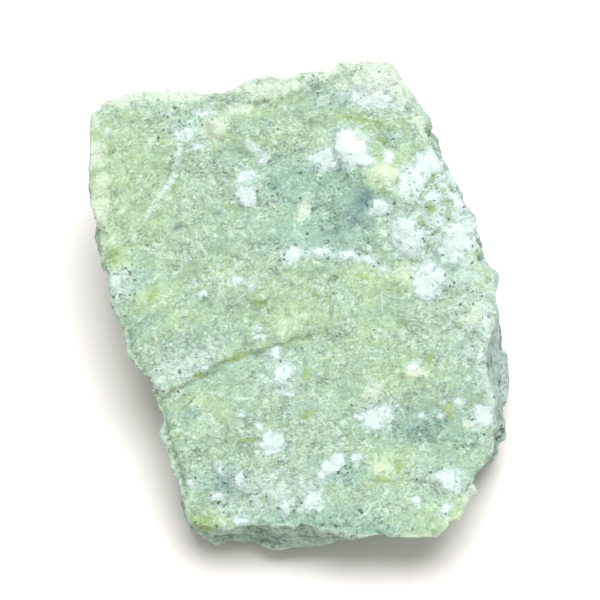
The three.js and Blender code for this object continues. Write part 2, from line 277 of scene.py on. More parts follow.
def patch_field(patches, places):
    """1 in the middle of the nearest patch, a half at its edge and 0 at twice its size."""
    field = np.zeros(len(places))
    for x, y, half_length, half_width, turn, strength in patches:
        angle = math.radians(turn)
        dx, dy = places[:, 0] - x, places[:, 1] - y
        along = (dx * math.cos(angle) + dy * math.sin(angle)) / half_length
        across = (dy * math.cos(angle) - dx * math.sin(angle)) / half_width
        reach = np.hypot(along, across)
        field = np.maximum(field, strength * np.clip(1.0 - 0.5 * reach, 0.0, 1.0))
    return field


def line_field(line, places):
    """Distance from a line of points in the face's plane, the share along it, and its side."""
    nearest = np.full(len(places), np.inf)
    share = np.zeros(len(places))
    side = np.zeros(len(places))
    for index, (start, end) in enumerate(zip(line[:-1], line[1:])):
        start, stride = np.array(start), np.array(end) - np.array(start)
        offset = places[:, :2] - start
        along = np.clip(offset @ stride / (stride @ stride), 0.0, 1.0)
        gap = offset - along[:, None] * stride
        distance = np.hypot(gap[:, 0], gap[:, 1])
        closer = distance < nearest
        nearest = np.where(closer, distance, nearest)
        share = np.where(closer, (index + along) / (len(line) - 1), share)
        turn = stride[0] * offset[:, 1] - stride[1] * offset[:, 0]
        side = np.where(closer, np.sign(turn), side)
    return nearest, share, side


def line_at(line, values):
    """A line's second number, read at those values of its first."""
    return np.interp(values, *np.array(line).T)


def bumps(places, size, shift, octaves=1):
    """Smooth noise of about -1 to 1 with bumps of that size. A size may be given for each axis."""
    spots = places / np.array(size) + shift
    if octaves == 1:
        values = [noise.noise(Vector(spot)) for spot in spots]
    else:
        values = [noise.fractal(Vector(spot), FALL_OFF, FINER, octaves) for spot in spots]
    return 1.6 * np.array(values)


def chips(places, size, tilt, step, blend, shift):
    """Flat fracture chips: each Voronoi cell has its own tilt and level."""
    heights = np.empty(len(places))
    for index, spot in enumerate(places / size + shift):
        distances, centres = noise.voronoi(Vector(spot))
        levels = []
        for centre in centres[:2]:
            lean = noise.cell_vector(centre * 7.3) - Vector((0.5, 0.5, 0.5))
            away = Vector(spot) - centre
            levels.append(tilt * size * away.dot(lean) + step * lean.z)
        mixed = 0.5 + 0.5 * min(1.0, (distances[1] - distances[0]) / blend)
        heights[index] = mixed * levels[0] + (1.0 - mixed) * levels[1]
    return heights


# ---- the stone's mesh ----


def placed(name, data):
    """A new object, linked into the scene."""
    made = bpy.data.objects.new(name, data)
    bpy.context.scene.collection.objects.link(made)
    return made


def copy_of_node():
    """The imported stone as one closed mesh, its loose triangles joined."""
    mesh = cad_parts[NODE].data.copy()
    mesh.name = PIECE
    mesh.materials.clear()
    shape = bmesh.new()
    shape.from_mesh(mesh)
    bmesh.ops.remove_doubles(shape, verts=shape.verts, dist=1e-6)
    shape.to_mesh(mesh)
    shape.free()
    return placed(PIECE, mesh)


def remesh(piece, spacing):
    """Even small quads in place of the long CAD triangles."""
    modifier = piece.modifiers.new("even", "REMESH")
    modifier.mode = "VOXEL"
    modifier.voxel_size = spacing
    modifier.adaptivity = 0.0
    evaluated = piece.evaluated_get(bpy.context.evaluated_depsgraph_get())
    even = bpy.data.meshes.new_from_object(evaluated)
    piece.modifiers.clear()
    rough = piece.data
    piece.data = even
    bpy.data.meshes.remove(rough)
    even.name = PIECE


class Surface:
    """A mesh's points, normals and edges as arrays, in millimetres."""

    def __init__(self, mesh):
        self.mesh = mesh
        self.points = self._read(mesh.vertices, "co", 3) / MM
        self.edges = self._read(mesh.edges, "vertices", 2, np.int32)
        self.measure()

    @staticmethod
    def _read(collection, name, width, kind=np.float32):
        flat = np.empty(len(collection) * width, kind)
        collection.foreach_get(name, flat)
        return flat.reshape(-1, width).astype(float if kind == np.float32 else int)

    def measure(self):
        """Puts the points into the mesh and takes its normals."""
        flat = (self.points * MM).astype(np.float32).ravel()
        self.mesh.vertices.foreach_set("co", flat)
        self.mesh.update()
        self.normals = self._read(self.mesh.vertices, "normal", 3)

    def spread(self, values, times):
        """The values, each evened out with its neighbours'."""
        first, second = self.edges.T
        count = np.bincount(np.concatenate([first, second]), minlength=len(self.points))
        for _ in range(times):
            total = np.bincount(first, values[second], len(self.points))
            total += np.bincount(second, values[first], len(self.points))
            values = 0.5 * values + 0.5 * total / count
        return values

    def evened(self, vectors, times):
        """The vectors, each evened out with its neighbours'."""
        return np.stack([self.spread(axis, times) for axis in vectors.T], axis=1)

    def convexity(self, reach):
        """Above 0 on edges and bumps, below 0 in hollows, in millimetres, over some rings."""
        return np.einsum("ij,ij->i", self.points - self.evened(self.points, reach), self.normals)

    def store(self, name, values):
        attribute = self.mesh.attributes.new(name, "FLOAT", "POINT")
        attribute.data.foreach_set("value", values.astype(np.float32))


def ease_edges(surface):
    """Sharp turns even out, so that the even mesh leaves no steps along them."""
    turning = smooth_step(surface.spread(surface.convexity(6), 6), 0.03, 0.12)[:, None]
    surface.points += turning * (surface.evened(surface.points, 14) - surface.points)
    surface.measure()


def fracture(table, places, look):
    """The heights of a table's chips, one size on top of the other."""
    return sum(
        chips(places, size, tilt * look.chip_tilt, step * look.chip_step, blend, shift)
        for size, tilt, step, blend, shift in table)


def broken_flank(places, look):
    """The flanks broke in larger facets, and here and there layer by layer, like shingles."""
    height = fracture(FLANK_CHIPS, places, look)
    wobble = bumps(places, (6.0, 6.0, 3.0), 17.0)
    for thickness, depth, shift in SHINGLES:
        turns = places[:, 2] / thickness + 0.9 * wobble + shift
        shingle = turns - np.floor(turns) - 0.5
        broken = smooth_step(bumps(places, (5.0, 5.0, 2.2), 61.0 + shift), 0.0, 0.55)
        height += look.layer * depth * broken * shingle
    return height + 0.14 * bumps(places, 2.6, 71.0) + 0.05 * bumps(places, (3.2, 3.2, 0.9), 75.0, 2)


def bevels(places):
    """How far the face drops beyond its crests."""
    drop = np.zeros(len(places))
    for crest, turn, slope in BEVELS:
        gap, along, side = line_field(crest, places)
        beyond = np.maximum(turn * side * gap + 0.12 * bumps(places, 1.2, 89.0), 0.0)
        drop += slope * np.minimum(beyond, BEVEL_WIDTH) * band(along, 0.0, 0.08, 0.85, 1.0)
    return drop


def ledges(places):
    """How far the layer in front of each ledge lies lower, and the crack at its foot, which also
    paints its shadow line.
    """
    ragged = 0.45 * bumps(places, 1.3, 91.0, 2)
    drop, crack_and_shade = np.zeros(len(places)), np.zeros(len(places))
    for fall, line in LEDGES:
        gap, along, side = line_field(line, places)
        below = ragged - side * gap
        fade = fall * band(along, 0.0, 0.06, 0.65, 1.0)
        drop += fade * band(below, 0.0, 0.45, 0.6, 7.0)
        crack_and_shade = np.maximum(crack_and_shade, fade * np.clip(1.0 - np.abs(below - 0.2) / 0.4, 0.0, 1.0))
    return drop, crack_and_shade


def swellings(places):
    """Lumps that swell out of the face, the largest at the highest corner, and gentle waves."""
    height = 0.13 * bumps(places, 3.4, 115.0, 2) + 0.05 * bumps(places, 1.8, 119.0)
    shiver = 0.15 * bumps(places, 1.4, 93.0)
    for *patch, rise in LUMPS:
        lump = patch_field(((*patch, 1.0),), places)
        height += rise * smooth_step(lump + shiver, 0.36, 0.72)
    return height


def veins(places):
    """1 in the middle of each vein, fading out to its sides."""
    wobble = 0.22 * bumps(places, 1.4, 95.0, 2)
    field = np.zeros(len(places))
    for strength, line in VEINS:
        gap = line_field(line, places)[0]
        closeness = np.clip(1.0 - np.abs(gap + wobble) / VEIN_HALF, 0.0, 1.0)
        field = np.maximum(field, strength * closeness)
    return field


def draw_flanks_in(surface, places, look):
    """The lower left flank draws in under the face, and each flank ends at its foot."""
    left = smooth_step(-places[:, 0], 6.0, 16.0) * smooth_step(-places[:, 1], -8.0, 0.0)
    left *= 1.0 - 0.7 * smooth_step(-places[:, 1], 14.0, 20.0)
    surface.points[:, 0] += look.tuck * left * smooth_step(-places[:, 2], 0.8, 10.0)

    across, along, height = face_places(surface.points).T
    under = smooth_step(-height, 0.4, 1.8)
    seen = along + SEEN_LOWER * height
    past = np.maximum(line_at(LEFT_FOOT, seen) - across, 0.0)
    surface.points[:, 0] += DRAWN_SIDE * under * band(seen, -27.0, -24.0, -2.0, 4.0) * past
    past = np.maximum(across - line_at(RIGHT_FOOT, seen), 0.0)
    surface.points[:, 0] -= DRAWN_SIDE * under * band(seen, -20.0, -16.0, 1.0, 4.0) * past
    past = np.maximum(line_at(FRONT_FOOT, across) - seen, 0.0)
    past *= smooth_step(across, 3.0, 7.0) * smooth_step(-seen, 20.0, 26.0)
    under = np.maximum(under, band(across, 6.0, 8.0, 11.5, 13.0))
    surface.points[:, 1] += DRAWN_FRONT * under * past
    lip = band(across, 10.4, 12.2, 18.0, 21.0) * smooth_step(-along, 25.5, 29.5)
    surface.points[:, 1] -= FRONT_LIP * lip
    surface.points[:, 2] = np.maximum(surface.points[:, 2], 0.0)
    surface.measure()


def raise_surface(surface, look):
    """Chips, grain, layers, chalk and ledges, raised along the normals; then the flanks draw in."""
    ease_edges(surface)
    places, normals = face_places(surface.points), surface.normals
    facing = normals @ np.array([0.0, -math.sin(FACE_LEAN), math.cos(FACE_LEAN)])
    flank = 1.0 - smooth_step(facing, 0.55, 0.85)
    base = smooth_step(-normals[:, 2], 0.75, 0.95) * smooth_step(-surface.points[:, 2], -1.2, -0.4)
    rim = smooth_step(surface.spread(surface.convexity(6), 4), 0.06, 0.20)

    height = 0.22 * bumps(places, 8.0, 5.0) + fracture(FACE_CHIPS, places, look)
    height += look.grain * bumps(places, 1.15, 41.0, 2) + flank * broken_flank(places, look)
    nicks = 0.5 * bumps(places, 2.3, 83.0) + bumps(places, 0.9, 87.0, 2)
    height += rim * (0.12 * nicks - 0.06)
    drop, crack_and_shade = ledges(places)
    height += (1.0 - flank) * (swellings(places) - bevels(places) - look.ledge * drop)

    # Veins stand proud, and the chalk is a rough crust. Both it and the rock have pits.
    vein = veins(places) * (1.0 - flank)
    height += 0.10 * smooth_step(vein, 0.55, 0.9)
    chalk = patch_field(CHALK, places) * (1.0 - flank * smooth_step(-places[:, 2], 0.5, 2.5))
    crust = smooth_step(chalk + 0.16 * bumps(places, 0.9, 97.0), 0.46, 0.62)
    height += look.chalk_rise * crust * (1.0 + 0.6 * bumps(places, 0.8, 101.0))
    pits = smooth_step(bumps(places, 1.3, 107.0), 0.62, 0.95)
    height -= 0.20 * pits * (0.5 + 0.5 * crust)

    # Steep places even out.
    steep = np.clip(band(flank, 0.0, 0.3, 0.7, 1.0) + rim, 0.0, 1.0)
    height += 0.85 * surface.spread(steep, 3) * (surface.spread(height, 5) - height)

    outward = surface.evened(normals, 6)
    outward /= np.linalg.norm(outward, axis=1)[:, None]
    surface.points += outward * (height * (1.0 - base))[:, None]
    draw_flanks_in(surface, places, look)

    near_top = smooth_step(places[:, 2], -5.0, -2.0)
    masks = {
        "chalk": chalk,
        "cream": patch_field(CREAM_AND_RIM_LIGHT, places) * smooth_step(places[:, 2], -3.5, -0.8),
        "frost": patch_field(FROST, places) * smooth_step(places[:, 2], -13.0, -5.0),
        "cloud": patch_field(CLOUD, places) * smooth_step(places[:, 2], -12.0, -6.0),
        "heart": patch_field(HEART, places) * near_top,
        "yellow": patch_field(YELLOW, places) * (1.0 - 0.7 * flank),
        "olive": patch_field(OLIVE, places) * near_top,
        "vein": vein,
        # The crack's darker colour is also the painted shadow line under each ledge.
        "crack_and_shade": crack_and_shade * (1.0 - flank),
        "flank": flank,
        # Flanks that face the front, where the colour is lifted as painted light.
        "front_painted_light": smooth_step(-normals[:, 1], 0.5, 0.9) * smooth_step(-places[:, 1], 24.0, 28.0),
        # Convexity: from it the material paints highlights on the bumps and shade in the hollows.
        "relief": 0.5 + 2.6 * surface.convexity(3),
        "rim": rim,
    }
    for name in MASKS:
        surface.store(name, masks[name])


# ---- shader nodes ----


def maths(operation, turned=False):
    """A wire's method that adds a Math node, with its two inputs turned round or not."""
    def combine(self, other):
        first, second = (other, self) if turned else (self, other)
        inputs = {0: first, 1: second}
        return self.sheet.node("Math", {"operation": operation}, inputs, "Value")
    return combine


class Wire:
    """A number on its way between nodes. Sums with wires become Math nodes."""

    def __init__(self, sheet, socket):
        self.sheet = sheet
        self.socket = socket

    __add__, __radd__ = maths("ADD"), maths("ADD", True)
    __sub__, __rsub__ = maths("SUBTRACT"), maths("SUBTRACT", True)
    __mul__, __rmul__ = maths("MULTIPLY"), maths("MULTIPLY", True)
    least = maths("MINIMUM")

    def rise(self, low, high):
        """0 at low, 1 at high and smooth between. Low may be above high."""
        settings = {"interpolation_type": "SMOOTHSTEP"}
        inputs = {"Value": self, "From Min": low, "From Max": high}
        return self.sheet.node("MapRange", settings, inputs, "Result")


class Sheet:
    """The nodes of one new material, or of a tree that there is."""

    def __init__(self, name="", tree=None):
        if tree is None:
            self.material = bpy.data.materials.new(name)
            self.material.use_nodes = True
            tree = self.material.node_tree
        self.tree = tree
        self.tree.nodes.clear()

    def node(self, kind, settings, inputs, *outputs):
        """Adds a shader node with its settings and inputs, and gives the named outputs."""
        made = self.tree.nodes.new("ShaderNode" + kind)
        for name, value in settings.items():
            setattr(made, name, value)
        for key, value in inputs.items():
            socket = made.inputs[key] if isinstance(key, int) else self._socket(made.inputs, key)
            if isinstance(value, Wire):
                self.tree.links.new(value.socket, socket)
            else:
                socket.default_value = value
        wires = [Wire(self, self._socket(made.outputs, output)) for output in outputs]
        return wires[0] if len(wires) == 1 else wires

    @staticmethod
    def _socket(sockets, name):
        return next(socket for socket in sockets if socket.name == name and socket.enabled)

    def attribute(self, name):
        return self.node("Attribute", {"attribute_name": name}, {}, "Fac")

    def moved(self, vector, by):
        return self.node("VectorMath", {"operation": "ADD"}, {0: vector, 1: by}, "Vector")

    def scaled(self, vector, factor):
        inputs = {"Vector": vector, "Scale": factor}
        return self.node("VectorMath", {"operation": "SCALE"}, inputs, "Vector")

    def noise(self, place, size, shift=0.0, detail=3.0, roughness=0.6, output="Fac"):
        """Cloudy noise from 0 to 1 with lumps of that size. A shift sets two noises apart."""
        spot = self.moved(place, (shift, 0.7 * shift, -0.4 * shift)) if shift else place
        inputs = {"Vector": spot, "Scale": 1.0 / size, "Detail": detail, "Roughness": roughness}
        return self.node("TexNoise", {}, inputs, output)

    def centred(self, vector):
        """A vector from 0 to 1 moved to lie round zero."""
        return self.moved(vector, (-0.5, -0.5, -0.5))

    def bent(self, place, bend, reach):
        """The place, pushed about by a vector that lies round zero."""
        return self.moved(place, self.scaled(bend, reach))

    def laid(self, place, turn, stretch, middle=(0.0, 0.0, 0.0)):
        """The place from that middle, turned by those angles and drawn out along its new axes."""
        inputs = {"Vector": place, "Location": middle, "Rotation": turn, "Scale": stretch}
        return self.node("Mapping", {"vector_type": "TEXTURE"}, inputs, "Vector")

    def turned(self, place, degrees, stretch):
        """The place, turned about the upright axis and drawn out lengthways."""
        return self.laid(place, (0.0, 0.0, math.radians(degrees)), (stretch, 1.0, 1.0))

    def cells(self, place, size):
        """Distance from the middle of a place's cell, and two numbers of the cell's own."""
        inputs = {"Vector": place, "Scale": 1.0 / size}
        reach, colour = self.node("TexVoronoi", {}, inputs, "Distance", "Color")
        return reach, *self.node("SeparateColor", {}, {"Color": colour}, "Red", "Green")

    def joints(self, place, size):
        """Distance from the joint between two cells of that size."""
        inputs = {"Vector": place, "Scale": 1.0 / size}
        return self.node("TexVoronoi", {"feature": "DISTANCE_TO_EDGE"}, inputs, "Distance")

    def facets(self, place, size, shift):
        """Heights of flat crystal faces of that size, each with a lean of its own."""
        spots = self.moved(place, (shift, 2.0 * shift, 3.0 * shift))
        inputs = {"Vector": spots, "Scale": 1.0 / size}
        middle, lot = self.node("TexVoronoi", {}, inputs, "Position", "Color")
        inputs = {0: spots, 1: middle}
        away = self.node("VectorMath", {"operation": "SUBTRACT"}, inputs, "Vector")
        inputs = {0: away, 1: self.centred(lot)}
        return self.node("VectorMath", {"operation": "DOT_PRODUCT"}, inputs, "Value")

    def mix(self, share, first, second, blend="MIX"):
        settings = {"data_type": "RGBA", "blend_type": blend}
        inputs = {"Factor": share, "A": first, "B": second}
        return self.node("Mix", settings, inputs, "Result")


class Coat:
    """A colour that is laid tone over tone."""

    def __init__(self, sheet, share, first, second):
        self.sheet = sheet
        self.colour = sheet.mix(share, first, second)

    def lay(self, share, tone):
        self.colour = self.sheet.mix(share, self.colour, tone)


def serpentine_rock(look):
    """Apple-green rock with sugary grain, teal clouds, white chalk and fibrous green flanks."""
    sheet = Sheet("serpentine_rock")
    chalk, cream, frost, cloud, heart, yellow, olive, vein, crack_and_shade, flank, front_painted_light, relief, rim = (
        sheet.attribute(name) for name in MASKS)

    # Patterns that the parts share. The noises lie round zero.
    place = sheet.scaled(sheet.node("TexCoord", {}, {}, "Object"), 1.0 / MM)
    slanted = sheet.turned(place, 22.0, 1.2)
    broad = sheet.noise(place, 9.0, 13.0) - 0.5
    middling = sheet.noise(slanted, 2.8, 31.0) - 0.5
    small = sheet.noise(slanted, 1.0, 47.0) - 0.5
    tiny = sheet.noise(slanted, 0.34, 59.0, 3.0, 0.7) - 0.5
    wander = sheet.centred(sheet.noise(place, 1.8, output="Color"))
    shiver = sheet.centred(sheet.noise(place, 0.5, 171.0, 2.0, output="Color"))
    bent = sheet.bent(place, wander, 1.3)
    jagged = sheet.bent(bent, shiver, 0.9)

    # The green, mottled with lime and with blue green, and its teal clouds.
    rock = Coat(sheet, (broad + 0.6 * middling).rise(-0.08, 0.10), look.green, look.pale_green)
    lime = sheet.noise(slanted, 2.0, 101.0) + 0.55 * yellow
    rock.lay(0.85 * lime.rise(0.50, 0.80), look.yellow_green)
    blue = sheet.noise(slanted, 1.7, 131.0) + 0.25 * frost - 0.3 * yellow
    rock.lay(0.7 * blue.rise(0.50, 0.68), look.blue_green)
    hazy = (cloud + 0.8 * small + 0.7 * middling).rise(0.20, 0.66)
    rock.lay(0.9 * hazy, look.teal)

    # Glassy lenses: smooth and fuller green, with hardly any grain.
    reach, lot, _ = sheet.cells(sheet.turned(bent, 28.0, 1.8), 1.5)
    lens = reach.rise(0.62, 0.40) * (lot + 0.2 * yellow - 0.3 * hazy).rise(0.74, 0.80)
    rock.lay(0.5 * lens, look.lens)

    # White frost with lime and olive crystals in it.
    white_part = (frost + 1.1 * small + 0.6 * middling).rise(0.30, 0.75)
    rock.lay(0.8 * white_part, look.frost)
    reach, lot, _ = sheet.cells(sheet.turned(bent, 112.0, 1.7), 1.0)
    blade = reach.rise(0.48, 0.30) * lot.rise(0.50, 0.60)
    rock.lay(0.6 * blade * frost.rise(0.35, 0.6), look.blade)

    # Sugary grain of three sizes: some grains paler, some darker.
    coarse = 0.42 + 0.78 * (0.65 * middling + 0.35 * broad).rise(-0.08, 0.06)
    coarse = coarse * (1.0 - 0.3 * yellow.rise(0.20, 0.60))
    thick = coarse * (1.0 - 0.7 * lens)
    pale_grain, dark_grain = tiny.rise(0.01, 0.16), 1.15 * tiny.rise(-0.02, -0.18)
    for size, shift, weight in GRAINS:
        spots = sheet.moved(jagged, (shift, 2.0 * shift, 3.0 * shift))
        reach, lot, other = sheet.cells(spots, size)
        core = weight * reach.rise(0.56, 0.20)
        pale_grain = pale_grain + core * (lot + 0.35 * white_part).rise(0.55, 0.95)
        dark_grain = dark_grain + core * (other + 0.35 * hazy).rise(0.62, 1.0)
    rock.lay((0.34 * thick * dark_grain).least(0.6), look.slate_and_shade)
    rock.lay((0.66 * thick * (1.0 - 0.5 * hazy) * pale_grain).least(0.85), look.pale_line_and_highlight)

    # Pale dashes two ways, long healed cracks and dark hairlines.
    for turn, shift, strength in DASHES:
        dash = sheet.noise(sheet.turned(place, turn, 4.5), 0.36, shift, 2.0, 0.5)
        rock.lay(strength * dash.rise(0.65, 0.73), look.pale_line_and_highlight)
    hardly_bent = sheet.bent(place, wander, 0.6)
    frosted = 0.7 * frost.rise(0.5, 0.8)
    healed, hairline = (4.4, 0.0, look.pale_line_and_highlight, 0.6), (3.4, 31.0, look.slate_and_shade, frosted)
    for size, shift, tone, shown in (healed, hairline):
        line = sheet.joints(sheet.moved(hardly_bent, (shift, 17.0, 5.0)), size)
        line = line.rise(0.13 / size, 0.03 / size)
        broken = sheet.noise(place, 2.2, 71.0 + shift).rise(0.48, 0.60)
        rock.lay(shown * (line * broken), tone)

    # White flecks, thicker beside the chalk.
    near_white = 0.6 * chalk + 0.35 * frost - 0.25 * yellow + 0.8 * middling
    for size, shift in FLECKS:
        reach, lot, other = sheet.cells(sheet.moved(jagged, (shift, 41.0, 12.0)), size)
        spread = 0.36 * other * (lot + near_white).rise(0.62, 1.0)
        rock.lay(0.95 * (reach - spread).rise(0.08, -0.10), look.pale_line_and_highlight)

    # Painted highlights on the edges and bumps, and painted shade with some dirt in the hollows.
    # Then lime in the cracks at the foot of the ledges, which also paints their shadow line.
    rock.lay(0.65 * (rim + 0.6 * small).rise(0.25, 0.85), look.pale_line_and_highlight)
    rock.lay(0.40 * relief.rise(0.55, 0.74), look.pale_line_and_highlight)
    rock.lay(0.45 * relief.rise(0.46, 0.30), look.hollow_dirt_and_shade)
    rock.lay(0.6 * (crack_and_shade + 0.5 * small).rise(0.14, 0.34), look.flank_lime)

    # The broken flanks: dark green fibres that follow the cleavage, in greyer and yellower parts.
    depth = sheet.laid(place, (FACE_LEAN, 0.0, 0.0), (1.0, 1.0, 1.0), FACE_MIDDLE)
    depth = sheet.node("SeparateXYZ", {}, {"Vector": depth}, "Z")
    # Near the face the flanks are sugary, and there they are also paler as painted light.
    sugary_and_lit = depth.rise(-7.0, -2.0)
    fibres = sheet.laid(bent, (FACE_LEAN, math.radians(7.0), 0.0), (5.0, 5.0, 1.0))
    fibre = sheet.noise(fibres, 0.45, 3.0, 4.0, 0.65) - 0.5
    strand = sheet.noise(fibres, 1.6, 5.0) - 0.5
    side = Coat(sheet, fibre.rise(-0.14, 0.12), look.flank_dark, look.flank)
    side.lay(0.6 * strand.rise(0.0, 0.18), look.flank_pale)
    # Paler near the rim: partly the sugary rock, partly painted light on the top of the flanks.
    side.lay(0.35 * sugary_and_lit, look.pale_green)
    # Painted light: the flank that faces the front is lighter, its dark fibres and its grains
    # paled.
    side.lay(front_painted_light * (0.6 * fibre + 0.4 * strand).rise(-0.16, -0.04), look.pale_green)
    greyer = sheet.noise(place, 7.0, 83.0) + 0.25 * cloud
    side.lay(0.55 * greyer.rise(0.50, 0.60), look.blue_green)
    yellower = sheet.noise(place, 5.0, 89.0) + 0.10 * depth.rise(-5.0, -1.0) - 0.4 * cloud
    side.lay(0.6 * yellower.rise(0.54, 0.66), look.flank_lime)
    threads = sheet.laid(bent, (FACE_LEAN, math.radians(-11.0), 0.0), (9.0, 9.0, 1.0))
    side.lay(0.6 * sheet.noise(threads, 0.26, 97.0, 2.0, 0.5).rise(0.65, 0.75), look.pale_line_and_highlight)
    side.lay(((0.35 + 0.40 * sugary_and_lit) * dark_grain).least(0.75), look.slate_and_shade)
    side.lay(((0.25 + 0.45 * sugary_and_lit + 0.3 * front_painted_light) * pale_grain).least(0.85), look.flank_pale)
    frosty = frost + 2.2 * (strand + fibre) + 0.9 * small
    side.lay(0.85 * frosty.rise(0.44, 0.88), look.flank_frost)
    # Painted highlights on the flanks' bumps and painted shade in their hollows.
    side.lay(0.45 * relief.rise(0.54, 0.72), look.pale_line_and_highlight)
    side.lay(0.75 * relief.rise(0.48, 0.30), look.slate_and_shade)
    rock.lay(flank * (1.0 - 0.8 * rim), side.colour)

    # Cream lumps and the cream painted as highlights along the rim, the dark hearts of the clouds
    # and small olive crystals.
    lump = Coat(sheet, 0.7 * yellow.rise(0.30, 0.75), look.cream, look.lime_cream)
    lump.lay(0.7 * cream.rise(0.75, 1.05), look.cream_white)
    speckle = 0.7 * small + 0.3 * tiny
    rock.lay(0.75 * (cream + speckle).rise(0.36, 0.66), lump.colour)
    rock.lay(0.24 * heart.rise(0.15, 0.85), look.heart)
    rock.lay(0.65 * (heart + 0.9 * small + 2.2 * tiny).rise(0.40, 0.95), look.heart)
    rock.lay(0.75 * (olive + 1.5 * small + 0.8 * tiny).rise(0.34, 0.62), look.olive)

    # White veins and chalk, with ragged but clear edges.
    rock.lay(0.75 * (vein + 0.35 * small + 0.5 * tiny).rise(0.63, 0.90), look.chalk)
    ragged = 1.25 * chalk + 1.15 * small + 0.45 * tiny
    rock.lay(0.55 * ragged.rise(0.28, 0.62), look.chalk_shade)
    crust = ragged.rise(0.61, 0.71)
    white = Coat(sheet, speckle.rise(-0.18, 0.02), look.chalk_shade, look.chalk)
    white.lay(0.8 * cream.rise(0.35, 0.7), look.cream_white)
    rock.lay(0.92 * crust, white.colour)

    # Green crystals with dark outlines, where the frost is thickest.
    thickest = frost.rise(0.64, 0.82) * chalk.rise(0.90, 0.60) * (1.0 - 0.8 * flank)
    reach, lot, other = sheet.cells(sheet.turned(sheet.bent(place, wander, 0.5), 60.0, 1.4), 0.95)
    reach = reach + 0.30 * small + 0.25 * tiny
    shown = thickest * lot.rise(0.30, 0.38)
    rock.lay(0.42 * shown * reach.rise(0.54, 0.42), look.slate_and_shade)
    crystal = sheet.mix(other, look.blade, look.yellow_green)
    rock.lay(0.75 * shown * reach.rise(0.44, 0.32), crystal)

    # Dark specks, thick in the clouds and round the chalk.
    reach, lot, _ = sheet.cells(sheet.moved(bent, (61.0, 13.0, 7.0)), 0.5)
    dot = (reach + 0.5 * tiny).rise(0.30, 0.16) * (lot + 0.5 * middling).rise(0.66, 0.80)
    rock.lay(0.38 * dot * (1.0 - 0.6 * crust), look.slate_and_shade)
    reach, lot, _ = sheet.cells(sheet.moved(bent, (11.0, 23.0, 37.0)), 0.7)
    crowd = lot + 0.35 * cloud + 0.25 * chalk + 0.45 * frost + 0.9 * middling
    speck = (reach + 0.8 * tiny).rise(0.32, 0.14) * crowd.rise(0.96, 1.14) * (1.0 - 0.5 * crust)
    rock.lay(0.8 * speck, look.speck)

    # The finest relief, and a duller gloss on the chalk than on the lenses.
    height = 0.5 * (small + tiny + 1.0) + 0.25 * (pale_grain - dark_grain)
    height = height + 0.2 * crust - 0.4 * speck
    height = height + 4.0 * (sheet.facets(bent, 0.55, 7.0) + sheet.facets(bent, 1.3, 19.0))
    height = height * (0.25 + 0.75 * coarse) * (1.0 - 0.45 * crust)
    height = height + flank * (1.2 * fibre + 0.6 * strand + 0.9)
    bump = sheet.node("Bump", {}, {
        "Height": height, "Strength": 1.0, "Distance": look.bump}, "Normal")
    gloss = 0.68 + 0.4 * small + 0.18 * crust - 0.25 * lens
    shader = sheet.node("BsdfPrincipled", {}, {
        "Base Color": rock.colour, "Roughness": gloss, "Normal": bump,
        "IOR": 1.55, "Specular IOR Level": 0.5}, "BSDF")
    sheet.node("OutputMaterial", {}, {"Surface": shader})
    return sheet.material


def studio_light(strength):
    """Even warm light from all round, white along the horizon, where the floor ends."""
    world = bpy.data.worlds.new("studio")
    world.use_nodes = True
    sheet = Sheet(tree=world.node_tree)
    toward = sheet.node("TexCoord", {}, {}, "Generated")
    height = sheet.node("SeparateXYZ", {}, {"Vector": toward}, "Z")
    horizon = (height * height).rise(0.0036, 0.0009)
    strength = strength + (HORIZON_STRENGTH - strength) * horizon
    inputs = {"Color": SKY, "Strength": strength}
    background = sheet.node("Background", {}, inputs, "Background")
    sheet.node("OutputWorld", {}, {"Surface": background})
    return world


def plain_white(name, colour):
    """Matt white for the floor, with a faint unevenness."""
    sheet = Sheet(name)
    place = sheet.node("TexCoord", {}, {}, "Object")
    grey = 0.985 + 0.03 * sheet.noise(place, 0.4, 0.0, 2.0, 0.55)
    inputs = {"Red": grey, "Green": grey, "Blue": grey}
    tone = sheet.node("CombineColor", {}, inputs, "Color")
    inputs = {"Base Color": sheet.mix(1.0, colour, tone, "MULTIPLY"), "Roughness": 0.9}
    shader = sheet.node("BsdfPrincipled", {}, inputs, "BSDF")
    sheet.node("OutputMaterial", {}, {"Surface": shader})
    return sheet.material


# ---- settings ----


def amount(name, description, default, **kind):
    """A number that isn't below 0."""
    return bpy.props.FloatProperty(
        name=name, description=description, default=default, min=0.0, **kind)


def length(name, description, default):
    return amount(name, description, default, precision=5, unit="LENGTH")


def angle(name, description, degrees):
    return amount(name, description, math.radians(degrees), subtype="ANGLE")


def shade(name, description, *default):
    return bpy.props.FloatVectorProperty(
        name=name, description=description, default=(*default, 1.0), size=4, min=0.0, max=1.0,
        subtype="COLOR")


